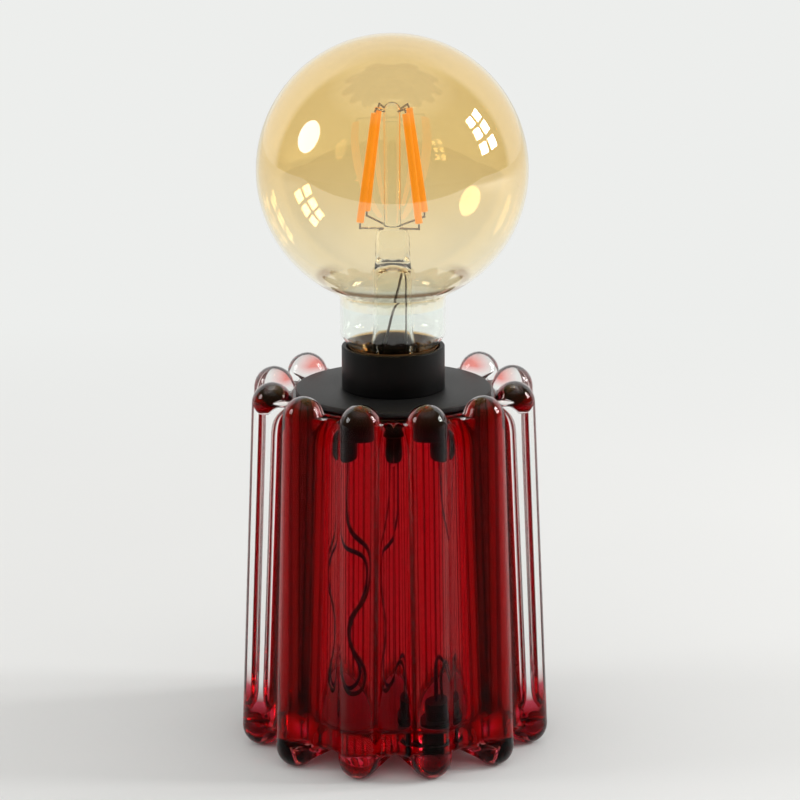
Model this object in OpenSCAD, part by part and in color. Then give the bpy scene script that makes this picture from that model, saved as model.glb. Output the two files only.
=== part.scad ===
// Table lamp: ribbed ruby glass vessel, black lid with a lamp holder, globe bulb with LED filaments.
// Millimetres, +Z up, origin on the table under the vessel's axis. The front is towards -Y.

/* [Vessel] */
// Height of the vessel's rim above the table
rim_z = 126.3; // [112:0.1:152]
// Outer radius of the vessel at its rim
rim_r = 37.1; // [32:0.1:44.6]
// How much wider the outer radius is at the underside
flare = 5.2; // [2:0.1:8]
// Height of the vessel's underside above the table
base_z = 6; // [5.4:0.1:9]
// Thickness of the vessel's wall
wall_t = 6.3; // [4.5:0.05:7.6]
// Thickness of the vessel's floor
floor_t = 5.6; // [4:0.1:7]
// Rounding of the rim's edges
lip_r = 1.6; // [0.8:0.1:2]
// Rounding of the edge between underside and wall
heel_r = 3; // [1:0.1:3.6]
// Rounding of the corner between inner wall and floor
cove_r = 4; // [2:0.1:6]

/* [Ribs] */
// Number of glass ribs around the vessel
rib_count = 12; // [8:1:14]
// Radius of a rib
rib_r = 7.2; // [6:0.05:8.7]
// Height of a rib's dome above the rim
rib_rise = 7; // [3:0.1:12]
// Depth to which a rib is fused into the wall
rib_bite = 0.3; // [0.1:0.05:0.6]
// Depth ground off each foot to give it a flat
foot_flat = 0.35; // [0.2:0.05:0.8]

/* [Cord bush] */
// Distance of the bush from the vessel's axis, to the right
bush_x = 12; // [8:0.5:14]
// Distance of the bush from the vessel's axis, to the front
bush_front = 20; // [14:0.5:21]
// Radius of the bush's flange
bush_flange_r = 9; // [7:0.1:9.5]
// Thickness of the bush's flange
bush_flange_t = 2.5; // [1.5:0.1:3.5]
// Radius of the bush's head
bush_head_r = 6; // [5.4:0.1:6.8]
// Height of the bush's head above its flange
bush_head_h = 6.4; // [5:0.1:7]
// Radius of the bush's shank
bush_shank_r = 4.9; // [4.4:0.1:5.5]
// Radius of the bore that takes a cord from below
cord_bore_r = 3.1; // [2.5:0.1:3.6]
// Thickness of the nut under the floor
bush_nut_t = 3.6; // [2.5:0.1:4.2]

/* [Leads] */
// Diameter of a lead
lead_d = 1.8; // [1.2:0.1:2.2]

/* [Lid] */
// How far the lid's edge lies inside the vessel's rim
lid_inset = 2.5; // [1:0.1:5]
// Thickness of the lid plate
lid_t = 2.2; // [1.5:0.1:3.5]
// Depth of the spigot under the lid
spigot_h = 9.2; // [5:0.1:11]
// Thickness of the spigot's wall
spigot_t = 2.4; // [1.5:0.1:3.5]
// Clearance between spigot and mouth
spigot_gap = 0.6; // [0.4:0.05:1]

/* [Lamp holder] */
// Thickness of the collar's wall
collar_t = 1.8; // [1.2:0.1:3]
// Height of the collar above the lid
collar_h = 15.3; // [13:0.1:18.4]
// Thickness of the barrel's wall outside the thread shell
barrel_t = 2; // [1.6:0.1:2.4]
// Clearance between the collar and the barrel
collar_gap = 0.2; // [0.1:0.05:0.4]
// Thickness of the holder's base cover
base_t = 2; // [1.6:0.1:4]
// Width of the lock ring beyond the barrel
lock_w = 5; // [3:0.1:7]
// Thickness of the lock ring
lock_t = 4; // [3:0.1:5]

/* [Bulb] */
// Radius of the globe
globe_r = 47.5; // [38:0.1:60]
// Radius of the bulb's neck
neck_r = 18.6; // [17:0.1:22.4]
// Height of the neck's straight part
neck_h = 10.8; // [8:0.1:16]
// Thickness of the bulb's glass
glass_t = 0.9; // [0.6:0.05:1.2]
// Fillet between globe and neck
neck_fillet = 4; // [2:0.1:7]
// Pitch of the screw thread
thread_pitch = 3.629; // [3.5:0.001:3.7]
// Depth of the screw thread, from crest to root
thread_depth = 1; // [0.7:0.05:1.1]
// Middle radius of the cap's thread
cap_mid_r = 12.6; // [12.4:0.05:12.7]
// Radial clearance between cap and holder threads
thread_gap = 0.5; // [0.4:0.05:0.6]
// Sheet thickness of cap and thread shell
sheet_t = 0.4; // [0.3:0.05:0.5]
// Number of LED filaments
filament_count = 4; // [2:1:6]
// Length of a filament
filament_len = 38; // [30:0.5:45]
// Radius of a filament
filament_r = 1.25; // [0.8:0.05:1.5]
// Radius of the circle of filament tops
filament_top_r = 7.6; // [6.5:0.1:10]
// Radius of the circle of filament bottoms
filament_low_r = 14.5; // [10:0.1:18]

/* [Hidden] */
$fn = 96;
// A little extra so that cuts pass right through
eps = 0.1;
// Small gap between a piece and the seat it rests on, and between fitted round faces
seat_gap = 0.1;
fit_gap = 0.1;

// Vessel
base_r = rim_r + flare;
lean_slope = flare / (rim_z - base_z);
lean = atan(lean_slope);
floor_z = base_z + floor_t;
mouth_r = rim_r - wall_t;
function outer_r(z) = rim_r + (rim_z - z) * lean_slope;
function inner_r(z) = outer_r(z) - wall_t;
function arc(c, r, a0, a1, n) = [for (k = [0:n]) let (a = a0 + (a1 - a0) * k / n) c + r * [cos(a), sin(a)]];

// Ribs: the first one stands half a step from +X, so a valley faces the front
rib_step = 360 / rib_count;
rib_phase = rib_step / 2;
foot_z = rib_r - foot_flat;
dome_z = rim_z + rib_rise - rib_r;
function rib_axis_r(z) = outer_r(z) + (rib_r - rib_bite) / cos(lean);
rib_len = (dome_z - foot_z) / cos(lean);

// Cord bush
bush_y = -bush_front;
bush_hole_r = bush_shank_r + fit_gap;
bush_low_z = 1.2;
bush_top_z = floor_z + bush_flange_t + bush_head_h;
seal_r = bush_head_r - 1.4;
seal_t = 4.4;
bore_end_z = bush_top_z - seal_t - 2;
lead_hole_r = lead_d / 2 + fit_gap;
lead_spread = 1.5;
nut_flat_r = bush_shank_r + 2.6;

// Lid and holder stack, from the rim up and down
lid_z = rim_z + seat_gap;
lid_top_z = lid_z + lid_t;
lid_r = rim_r - lid_inset;
spigot_r = mouth_r - spigot_gap;
collar_top_z = lid_top_z + collar_h;
// The bulb's contact tip lies this far under the collar's top
tip_drop = 28.9;
tip_z = collar_top_z - tip_drop;
// Heights in the holder, from the contact tip
shell_low_z = tip_z + 4;
shell_top_z = tip_z + 20.5;
pocket_z = tip_z - 1.4;
barrel_floor_t = 2;
terminal_top_z = pocket_z - barrel_floor_t;
terminal_h = 3.1;
barrel_low_z = terminal_top_z - terminal_h - 0.5;
barrel_top_z = tip_z + 24.5;
base_low_z = barrel_low_z - base_t;
shell_in_r = cap_mid_r + thread_gap;
shell_bore_r = shell_in_r + sheet_t + thread_depth / 2 + 2 * fit_gap;
barrel_r = shell_bore_r + barrel_t;
collar_in_r = barrel_r + collar_gap;
collar_r = collar_in_r + collar_t;
pocket_r = 12.2;
terminal_x = 7;
terminal_w = 5;
terminal_screw_r = 0.8;
rivet_r = 1;
strip_t = 0.5;
strip_w = 4;
// Rise of the centre contact's spring, which stops just short of the tip
contact_gap = 0.3;
base_screw_y = 13.4;
base_screw_r = 1.25;
base_screw_head_r = 2.3;
base_screw_head_t = 1.4;
base_screw_len = 5.5;

// Bulb
tip_r = 4.6;
tip_h = 1.4;
cap_low_z = tip_z + 4.5;
cap_top_z = tip_z + 26.2;
cap_low_r = 11.4;
skirt_r = 13.2;
throat_r = 12.4;
throat_low_z = tip_z + 22;
shoulder_r = 5;
shoulder_a = 40;
shoulder_z = tip_z + 34.5;
// Where the shoulder's slope starts, and its radius further down
slope_top = [neck_r - shoulder_r * (1 - cos(shoulder_a)), shoulder_z - shoulder_r * sin(shoulder_a)];
function slope_r(z) = slope_top[0] - (slope_top[1] - z) * tan(shoulder_a);
slope_low_z = slope_top[1] - (slope_top[0] - throat_r) / tan(shoulder_a);
fillet_z = shoulder_z + neck_h;
globe_z = fillet_z + sqrt(pow(globe_r + neck_fillet, 2) - pow(neck_r + neck_fillet, 2));
fillet_a = atan2(globe_z - fillet_z, neck_r + neck_fillet);
stem_r = 6.8;
stem_wall = 1;
press_r = 6.1;
post_r = 3;
flare_r = throat_r - glass_t - fit_gap;
flare_low_z = throat_low_z + 0.6;
// Heights in the globe, from its centre
press_z = globe_z - 33;
press_top_z = globe_z - 20.5;
post_top_z = globe_z + 24;
filament_low_z = globe_z - 16.6;
filament_drop = sqrt(pow(filament_len, 2) - pow(filament_low_r - filament_top_r, 2));
filament_top_z = filament_low_z + filament_drop;
filament_turn = 39;
wire_r = 0.35;
lead_wire_r = 0.45;
board_z = tip_z + 11;
board_r = 11.2;
board_t = 1.2;
capacitor_r = 3.2;
capacitor_h = 7.5;
cement_rise = 2.5;

// Thread: rings along the axis, each with its middle radius and its share of the thread's depth
thread_sides = 24;
thread_ring = thread_pitch / 6;
thread_fade = 1.2;

// Leads, as points from the holder's terminal down to the bush
live_route = [
    [-7, 0, 108.2], [-7, 0, 103], [-7, -3, 97], [-7.5, -10, 91], [-9, -17, 86.5], [-12.5, -19, 81],
    [-18, -18.5, 77], [-22.5, -17, 71.5], [-23, -16.5, 64.5], [-19, -17.5, 58], [-12.5, -18.5, 52.5],
    [-10, -18.5, 46], [-12, -18.5, 39.5], [-17, -18, 34], [-21, -16.5, 28.5], [-19, -15.5, 22.5],
    [-13.5, -14.5, 20.5], [-8, -13.5, 21.5], [-3, -14, 25], [2, -15.3, 30], [5.8, -17.2, 34],
    [10.2, -19.5, 33], [11.5, -20.4, 27.5], [10.5, -20, 22], [10.5, -20, 17.5]
];
neutral_route = [
    [7, 0, 108.2], [7, 0, 103], [7, -2.5, 97], [6.5, -6, 91], [5.5, -10.5, 86], [2.5, -14.5, 82],
    [-1.2, -16.5, 79], [-5, -16.5, 76.8], [-10, -16, 75], [-15.5, -15.5, 74], [-20, -14.5, 70],
    [-21.5, -14, 64.5], [-19, -14.8, 57.5], [-13, -15.8, 51], [-10.5, -16, 45], [-12, -16, 38.5],
    [-16.5, -15, 33], [-18.5, -13, 28], [-16, -11, 23], [-10, -9.5, 20.5], [-3.5, -8, 22], [3.5, -5.5, 27],
    [10, -8, 32.5], [13.5, -13.5, 34.5], [13.5, -19, 32], [13.5, -20, 25.5], [13.5, -20, 17.5]
];
lead_sides = 8;
lead_steps = 2;

// A smooth curve that starts and ends on a route and is drawn towards the points between
function point_at(p, i) =
    i < 0 ? 2 * p[0] - p[1] : i > len(p) - 1 ? 2 * p[len(p) - 1] - p[len(p) - 2] : p[i];
function curve_at(p, i, t) =
    let (a = point_at(p, i - 1), b = point_at(p, i), c = point_at(p, i + 1), d = point_at(p, i + 2))
    (pow(1 - t, 3) * a + (4 - 6 * t * t + 3 * t * t * t) * b
        + (1 + 3 * t + 3 * t * t - 3 * t * t * t) * c + t * t * t * d) / 6;
function curve(p, n) =
    concat([for (i = [0:len(p) - 2], k = [0:n - 1]) curve_at(p, i, k / n)], [p[len(p) - 1]]);
function unit(v) = v / norm(v);

// Round tube with a given number of sides along a list of points
module tube(points, r, sides) {
    last = len(points) - 1;
    rings = [
        for (k = [0:last])
            let (t = unit(points[min(k + 1, last)] - points[max(k - 1, 0)]))
            let (u = unit(cross(t, [0, 1, 0])), v = cross(t, u))
            for (j = [0:sides - 1]) points[k] + r * (cos(360 * j / sides) * u + sin(360 * j / sides) * v)
    ];
    walls = [
        for (k = [0:last - 1], j = [0:sides - 1])
            let (a = k * sides + j, b = k * sides + (j + 1) % sides)
            for (f = [[a, b + sides, b], [a, a + sides, b + sides]]) f
    ];
    e = last * sides;
    low_end = [for (j = [1:sides - 2]) [0, j, j + 1]];
    high_end = [for (j = [1:sides - 2]) [e, e + j + 1, e + j]];
    polyhedron(rings, concat(walls, low_end, high_end));
}

// Sheet tube with a screw thread, from a list of [height, middle radius, thread depth] rings
module thread_tube(rings, t) {
    n = len(rings);
    m = thread_sides;
    function wave(h, a) = h[1] + h[2] / 2 * cos(360 * h[0] / thread_pitch - a);
    function sheet(inset) = [
        for (h = rings, j = [0:m - 1])
            let (a = 360 * j / m, r = wave(h, a) - inset)
            [r * cos(a), r * sin(a), h[0]]
    ];
    o = n * m;
    walls = [
        for (k = [0:n - 2], j = [0:m - 1])
            let (a = k * m + j, b = k * m + (j + 1) % m)
            let (outside = [[a, a + m, b + m], [a, b + m, b]])
            let (inside = [[o + a, o + b + m, o + a + m], [o + a, o + b, o + b + m]])
            for (f = concat(outside, inside)) f
    ];
    low_end = [for (j = [0:m - 1]) let (b = (j + 1) % m) for (f = [[j, b, o + b], [j, o + b, o + j]]) f];
    e = (n - 1) * m;
    high_end = [
        for (j = [0:m - 1])
            let (a = e + j, b = e + (j + 1) % m)
            for (f = [[a, o + b, b], [a, o + a, o + b]]) f
    ];
    polyhedron(concat(sheet(0), sheet(t)), concat(walls, low_end, high_end));
}

// Round bar between two points
module bar(p, q, r) {
    d = q - p;
    translate(p) rotate([0, acos(d[2] / norm(d)), atan2(d[1], d[0])]) cylinder(h = norm(d), r = r, $fn = 24);
}

// Wire through a list of points, with a bead at each bend
module wire(points, r) {
    for (i = [0:len(points) - 2]) bar(points[i], points[i + 1], r);
    for (i = [1:1:len(points) - 2]) translate(points[i]) sphere(r * 1.2, $fn = 24);
}

module ring(r_in, r_out, z0, z1) {
    rotate_extrude() translate([r_in, z0]) square([r_out - r_in, z1 - z0]);
}

module ruby_vessel() {
    heel_z = base_z + heel_r;
    edge_z = rim_z - lip_r;
    cove_z = floor_z + cove_r;
    outline = concat(
        [[0, base_z]],
        arc([outer_r(heel_z) - heel_r / cos(lean), heel_z], heel_r, -90, lean, 8),
        arc([outer_r(edge_z) - lip_r / cos(lean), edge_z], lip_r, lean, 90, 8),
        arc([inner_r(edge_z) + lip_r / cos(lean), edge_z], lip_r, 90, 180 + lean, 8),
        arc([inner_r(cove_z) - cove_r / cos(lean), cove_z], cove_r, lean, -90, 8),
        [[0, floor_z]]
    );
    color("firebrick", 0.7) difference() {
        rotate_extrude() polygon(outline);
        translate([bush_x, bush_y, base_z - eps]) cylinder(h = floor_t + 2 * eps, r = bush_hole_r);
    }
}

module glass_rib(i) {
    capsule = concat(
        arc([0, 0], rib_r, -90, 0, 12),
        arc([0, rib_len], rib_r, 0, 90, 12)
    );
    color("mistyrose", 0.5) rotate([0, 0, rib_phase + rib_step * (i - 1)]) difference() {
        translate([rib_axis_r(foot_z), 0, foot_z]) rotate([0, -lean, 0]) rotate_extrude() polygon(capsule);
        translate([0, 0, base_z]) cylinder(h = rim_z - base_z, r1 = base_r, r2 = rim_r);
        translate([rib_axis_r(foot_z) - rib_r, -rib_r, -rib_r]) cube([2 * rib_r, 2 * rib_r, rib_r]);
    }
}

module cord_bush() {
    color("dimgray") translate([bush_x, bush_y, 0]) difference() {
        union() {
            translate([0, 0, floor_z]) cylinder(h = bush_flange_t, r = bush_flange_r);
            translate([0, 0, floor_z + bush_flange_t / 2]) cylinder(
                h = bush_top_z - floor_z - bush_flange_t / 2, r = bush_head_r);
            translate([0, 0, bush_low_z])
                cylinder(h = floor_z + bush_flange_t / 2 - bush_low_z, r = bush_shank_r);
        }
        translate([0, 0, bush_low_z - eps]) cylinder(h = bore_end_z - bush_low_z + eps, r = cord_bore_r);
        translate([0, 0, bush_top_z - seal_t]) cylinder(h = seal_t + eps, r = seal_r);
        for (s = [-1, 1]) translate([s * lead_spread, 0, bore_end_z - eps])
            cylinder(h = bush_top_z - bore_end_z, r = lead_hole_r);
    }
}

module bush_nut() {
    color("gray") translate([bush_x, bush_y, base_z - bush_nut_t]) difference() {
        cylinder(h = bush_nut_t, r = nut_flat_r / cos(30), $fn = 6);
        translate([0, 0, -eps]) cylinder(h = bush_nut_t + 2 * eps, r = bush_hole_r);
    }
}

module bush_seal() {
    color("black") translate([bush_x, bush_y, bush_top_z - seal_t]) difference() {
        cylinder(h = seal_t, r = seal_r);
        for (s = [-1, 1]) translate([s * lead_spread, 0, -eps])
            cylinder(h = seal_t + 2 * eps, r = lead_hole_r);
    }
}

module lead(route) {
    tube(curve(route, lead_steps), lead_d / 2, lead_sides);
}

module lead_live() {
    color("saddlebrown") lead(live_route);
}

module lead_neutral() {
    color("midnightblue") lead(neutral_route);
}

module lid_plate() {
    color("black") ring(collar_in_r, lid_r, lid_z, lid_top_z);
}

module lid_spigot() {
    color("black") ring(spigot_r - spigot_t, spigot_r, lid_z - spigot_h, lid_z);
}

module collar() {
    edge = 0.5;
    color("black") rotate_extrude() polygon([
        [collar_in_r, lid_top_z], [collar_r, lid_top_z], [collar_r, collar_top_z - edge],
        [collar_r - edge, collar_top_z], [collar_in_r, collar_top_z]
    ]);
}

module holder_barrel() {
    pocket_cut = [11, 12, terminal_top_z - barrel_low_z + eps];
    slot_in = pocket_r - 1;
    color("black") difference() {
        translate([0, 0, barrel_low_z]) cylinder(h = barrel_top_z - barrel_low_z, r = barrel_r);
        translate([0, 0, shell_low_z]) cylinder(h = barrel_top_z - shell_low_z + eps, r = shell_bore_r);
        translate([0, 0, pocket_z]) cylinder(h = shell_low_z - pocket_z + eps, r = pocket_r);
        for (s = [-1, 1]) {
            translate([s * terminal_x - pocket_cut[0] / 2, -pocket_cut[1] / 2, barrel_low_z - eps])
                cube(pocket_cut);
            translate([s * terminal_x, 0, terminal_top_z - eps])
                cylinder(h = barrel_floor_t + 2 * eps, r = rivet_r);
            translate([0, s * base_screw_y, barrel_low_z - eps])
                cylinder(h = base_screw_len - base_t + 1, r = base_screw_r);
        }
        translate([slot_in, -strip_w / 2 - fit_gap, pocket_z])
            cube([shell_in_r + strip_t - slot_in, strip_w + 2 * fit_gap, shell_low_z - pocket_z + eps]);
    }
}

module holder_base() {
    color("black") difference() {
        translate([0, 0, base_low_z]) cylinder(h = base_t, r = barrel_r);
        for (s = [-1, 1]) {
            translate([s * terminal_x, 0, base_low_z - eps])
                cylinder(h = base_t + 2 * eps, r = lead_hole_r + 2 * fit_gap);
            translate([0, s * base_screw_y, base_low_z - eps])
                cylinder(h = base_t + 2 * eps, r = base_screw_r);
        }
    }
}

module base_screws() {
    color("silver") for (s = [-1, 1]) translate([0, s * base_screw_y, base_low_z]) {
        cylinder(h = base_screw_len, r = base_screw_r - fit_gap);
        difference() {
            translate([0, 0, -base_screw_head_t]) cylinder(h = base_screw_head_t, r = base_screw_head_r);
            translate([-base_screw_head_r, -0.3, -base_screw_head_t - eps])
                cube([2 * base_screw_head_r, 0.6, 0.6 + eps]);
        }
    }
}

module lock_ring() {
    notch_w = 4;
    notch_d = 1.6;
    lock_r = barrel_r + lock_w;
    color("black") difference() {
        ring(collar_in_r, lock_r, lid_z - lock_t, lid_z);
        for (a = [45:90:315]) rotate([0, 0, a])
            translate([lock_r - notch_d, -notch_w / 2, lid_z - lock_t - eps])
                cube([notch_w, notch_w, lock_t + 2 * eps]);
    }
}

module thread_shell() {
    count = round((shell_top_z - shell_low_z) / thread_ring);
    color("goldenrod") thread_tube([
        for (k = [0:count])
            [shell_low_z + (shell_top_z - shell_low_z) * k / count, shell_in_r + sheet_t, thread_depth]
    ], sheet_t);
}

module centre_contact() {
    rise = tip_z - contact_gap - pocket_z;
    run = terminal_x;
    color("gold") {
        translate([-run, 0, terminal_top_z]) cylinder(h = barrel_floor_t, r = rivet_r);
        rotate([90, 0, 0]) translate([0, 0, -strip_w / 2]) linear_extrude(strip_w) polygon([
            [-run - 2, pocket_z], [-run + 3, pocket_z],
            [0, pocket_z + rise - strip_t], [3, pocket_z + rise - strip_t],
            [3, pocket_z + rise], [-0.3, pocket_z + rise], [-run + 2.7, pocket_z + strip_t],
            [-run - 2, pocket_z + strip_t]
        ]);
    }
}

module side_contact() {
    up_x = shell_in_r;
    color("gold") {
        translate([terminal_x, 0, terminal_top_z]) cylinder(h = barrel_floor_t, r = rivet_r);
        translate([terminal_x - 2, -strip_w / 2, pocket_z]) cube([up_x - terminal_x + 2, strip_w, strip_t]);
        translate([up_x - strip_t, -strip_w / 2, pocket_z]) cube([strip_t, strip_w, shell_low_z - pocket_z]);
    }
}

module terminals() {
    color("goldenrod") for (s = [-1, 1]) difference() {
        translate([s * terminal_x - terminal_w / 2, -terminal_w / 2, terminal_top_z - terminal_h])
            cube([terminal_w, terminal_w, terminal_h]);
        translate([s * terminal_x, -terminal_w / 2 - eps, terminal_top_z - terminal_h / 2])
            rotate([-90, 0, 0]) cylinder(h = terminal_w / 2, r = terminal_screw_r);
    }
}

module terminal_screws() {
    head_t = 1.2;
    color("silver") for (s = [-1, 1])
        translate([s * terminal_x, -terminal_w / 2, terminal_top_z - terminal_h / 2]) rotate([90, 0, 0]) {
            translate([0, 0, -2]) cylinder(h = 2, r = terminal_screw_r - fit_gap / 2);
            cylinder(h = head_t, r = terminal_screw_r + 0.5);
        }
}

module contact_tip() {
    color("silver") translate([0, 0, tip_z]) cylinder(h = tip_h, r1 = tip_r - 1.4, r2 = tip_r);
}

module bulb_glass() {
    inner_globe = globe_r - glass_t;
    outer_line = concat(
        [[throat_r, throat_low_z], [throat_r, slope_low_z]],
        arc([neck_r - shoulder_r, shoulder_z], shoulder_r, -shoulder_a, 0, 6),
        arc([neck_r + neck_fillet, fillet_z], neck_fillet, 180, 180 - fillet_a, 6),
        arc([0, globe_z], globe_r, -fillet_a, 90, 40)
    );
    inner_line = concat(
        arc([0, globe_z], inner_globe, 90, -fillet_a, 40),
        arc([neck_r + neck_fillet, fillet_z], neck_fillet + glass_t, 180 - fillet_a, 180, 6),
        arc([neck_r - shoulder_r, shoulder_z], shoulder_r - glass_t, 0, -shoulder_a, 6),
        [[throat_r - glass_t, slope_low_z], [throat_r - glass_t, throat_low_z]]
    );
    color("gold", 0.35) rotate_extrude() polygon(concat(outer_line, inner_line));
}

module glass_stem() {
    post_dome = arc([0, post_top_z - post_r], post_r, 0, 90, 6);
    outline = concat(
        [[flare_r, flare_low_z], [flare_r - 1.5, flare_low_z + 3.5], [stem_r + 0.8, flare_low_z + 8]],
        [[stem_r, flare_low_z + 13], [stem_r, press_z - 3], [press_r, press_z], [press_r, press_top_z - 2]],
        [[press_r - 1, press_top_z - 0.5], [post_r, press_top_z]],
        post_dome,
        [[0, press_z - 1], [stem_r - stem_wall - 1, press_z - 3], [stem_r - stem_wall, press_z - 6]],
        [[stem_r - stem_wall, flare_low_z + 13], [stem_r - stem_wall + 0.8, flare_low_z + 8]],
        [[flare_r - 1.5 - stem_wall, flare_low_z + 3.5], [flare_r - stem_wall, flare_low_z]]
    );
    color("lightcyan", 0.4) rotate_extrude() polygon(outline);
}

// Ends of one filament
function filament_angle(i) = filament_turn + 360 / filament_count * (i - 1);
function around(r, a, z) = [r * cos(a), r * sin(a), z];

module led_filament(i) {
    a = filament_angle(i);
    low = around(filament_low_r, a, filament_low_z);
    top = around(filament_top_r, a, filament_top_z);
    color("orange") bar(low, top, filament_r);
}

module filament_top_wires() {
    hook_z = filament_top_z + 1.6;
    hook_r = filament_top_r - filament_r / 2;
    color("gray") for (i = [1:filament_count]) {
        a = filament_angle(i);
        wire([around(post_r + wire_r, a, post_top_z - post_r), around(hook_r, a, hook_z),
            around(filament_top_r, a, filament_top_z + wire_r)], wire_r);
    }
}

module filament_base_wires() {
    arm_z = filament_low_z - 2;
    color("gray") for (i = [1:filament_count]) {
        a = filament_angle(i);
        wire([around(press_r - 2, a, press_top_z + wire_r), around(filament_low_r, a, arm_z),
            around(filament_low_r, a, filament_low_z - wire_r)], wire_r);
    }
}

module lead_in_wires() {
    wire_low_z = board_z + board_t + fit_gap;
    color("gray") {
        bar([-7, 0, wire_low_z], [3.4, 0, press_z - 3], lead_wire_r);
        bar([4.6, 0, wire_low_z], [4.6, 0, press_z - 3.3], wire_r);
    }
}

module screw_cap() {
    thread_low_z = cap_low_z + 1.5;
    thread_high_z = shell_top_z + 0.4;
    count = round((thread_high_z - thread_low_z) / thread_ring);
    threaded = [
        for (k = [0:count])
            let (z = thread_low_z + (thread_high_z - thread_low_z) * k / count)
            let (edge = min(z - thread_low_z, thread_high_z - z))
            let (depth = thread_depth * min(1, edge / thread_fade))
            [z, cap_mid_r - (thread_depth - depth) / 2, depth]
    ];
    rings = concat([[cap_low_z, cap_low_r, 0]], threaded, [
        [thread_high_z + 0.8, skirt_r, 0], [cap_top_z - 0.6, skirt_r + 0.1, 0], [cap_top_z, skirt_r + 0.5, 0]
    ]);
    color("silver") thread_tube(rings, sheet_t);
}

module cap_insulator() {
    color("black") rotate_extrude() polygon([
        [0, tip_z + tip_h], [tip_r + 0.6, tip_z + tip_h], [cap_low_r - sheet_t - fit_gap, cap_low_z],
        [cap_low_r - sheet_t - fit_gap, cap_low_z + 0.8], [0, cap_low_z + 0.8]
    ]);
}

module cap_cement() {
    low_z = cap_top_z + seat_gap / 2;
    top_z = low_z + cement_rise;
    glass_gap = 0.05;
    color("saddlebrown") rotate_extrude() polygon([
        [slope_r(low_z) + glass_gap, low_z], [skirt_r + 0.5, low_z], [skirt_r + 1, low_z + 0.4],
        [slope_r(top_z) + 0.3, top_z], [slope_r(top_z) + glass_gap, top_z]
    ]);
}

module driver_board() {
    color("darkgreen") difference() {
        translate([0, 0, board_z]) cylinder(h = board_t, r = board_r);
        translate([board_r - 2, -2, board_z - eps]) cube([4, 4, board_t + 2 * eps]);
    }
}

module driver_capacitor() {
    color("dimgray") translate([-3, 5.5, board_z + board_t]) cylinder(h = capacitor_h, r = capacitor_r);
}

ruby_vessel();
cord_bush();
bush_nut();
bush_seal();
lead_live();
lead_neutral();
lid_plate();
lid_spigot();
collar();
holder_barrel();
holder_base();
base_screws();
lock_ring();
thread_shell();
centre_contact();
side_contact();
terminals();
terminal_screws();
contact_tip();
bulb_glass();
glass_stem();
filament_top_wires();
filament_base_wires();
lead_in_wires();
screw_cap();
cap_insulator();
cap_cement();
driver_board();
driver_capacitor();
for (i = [1:rib_count]) glass_rib(i);
for (i = [1:filament_count]) led_filament(i);
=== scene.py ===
import logging
import math
from dataclasses import dataclass, replace
from enum import Enum

import bmesh
import bpy
from mathutils import Matrix, Vector
from mathutils.kdtree import KDTree


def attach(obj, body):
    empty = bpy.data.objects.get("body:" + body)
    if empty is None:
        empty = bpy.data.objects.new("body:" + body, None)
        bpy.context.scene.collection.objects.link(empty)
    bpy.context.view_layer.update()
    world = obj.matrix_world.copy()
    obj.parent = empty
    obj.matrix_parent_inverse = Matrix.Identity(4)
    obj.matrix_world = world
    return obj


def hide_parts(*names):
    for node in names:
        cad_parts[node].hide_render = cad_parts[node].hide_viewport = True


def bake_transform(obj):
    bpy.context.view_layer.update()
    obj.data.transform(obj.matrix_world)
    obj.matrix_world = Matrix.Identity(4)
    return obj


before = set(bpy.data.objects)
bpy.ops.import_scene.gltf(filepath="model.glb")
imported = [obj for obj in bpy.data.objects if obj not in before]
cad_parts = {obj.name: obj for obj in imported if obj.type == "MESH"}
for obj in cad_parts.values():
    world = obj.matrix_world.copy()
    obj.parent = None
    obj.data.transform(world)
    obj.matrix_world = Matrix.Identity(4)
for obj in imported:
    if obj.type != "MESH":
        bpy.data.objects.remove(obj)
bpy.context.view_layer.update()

# Table lamp: a ruby glass vessel with clear ribs, a black lid with a lamp holder, and an amber globe bulb.
# The sizes of its sub-assemblies are in millimetres, and every mesh is scaled to metres when it is placed.
# The studio around it is in metres.

MM = 0.001
TURN = 2 * math.pi
SEAM = "seam"
EVEN = (1.0, 1.0, 1.0)
BLACK = (0.0, 0.0, 0.0, 1.0)
NOISE_MIDDLE = (0.3, 0.7)
MIX_COLOUR_INPUTS = (0, 6, 7)
MIX_COLOUR_OUTPUT = 2
ALL_SMOOTH = 180.0
SUBDIVISIONS = 2

# Tolerances of the meshes in millimetres, and the share of a width that counts as its edge
MERGE = 1e-4
TOUCH = 1e-3
NEAR = 0.01
ALMOST = 0.999

Pair = tuple[float, float]
Place = tuple[float, float, float]
Colour = tuple[float, float, float, float]
Outline = list[Pair]

log = logging.getLogger("table_lamp")


class Body(Enum):
    """Bodies of the frame that pieces ride on."""

    VESSEL = "vessel"
    LID = "lid"
    BULB = "bulb"


class Slot(Enum):
    """Material slots of the record."""

    RUBY = "ruby_glass"
    CLEAR = "clear_glass"
    AMBER = "amber_glass"
    BLACK_METAL = "black_metal"
    BLACK_PLASTIC = "black_plastic"
    BROWN = "brown_insulation"
    BLUE = "blue_insulation"
    CAP = "cap_metal"
    CEMENT = "cement"


class LightShape(Enum):
    """Shapes of the area lights."""

    RECTANGLE = "RECTANGLE"
    DISK = "DISK"


# Node graphs


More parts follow.
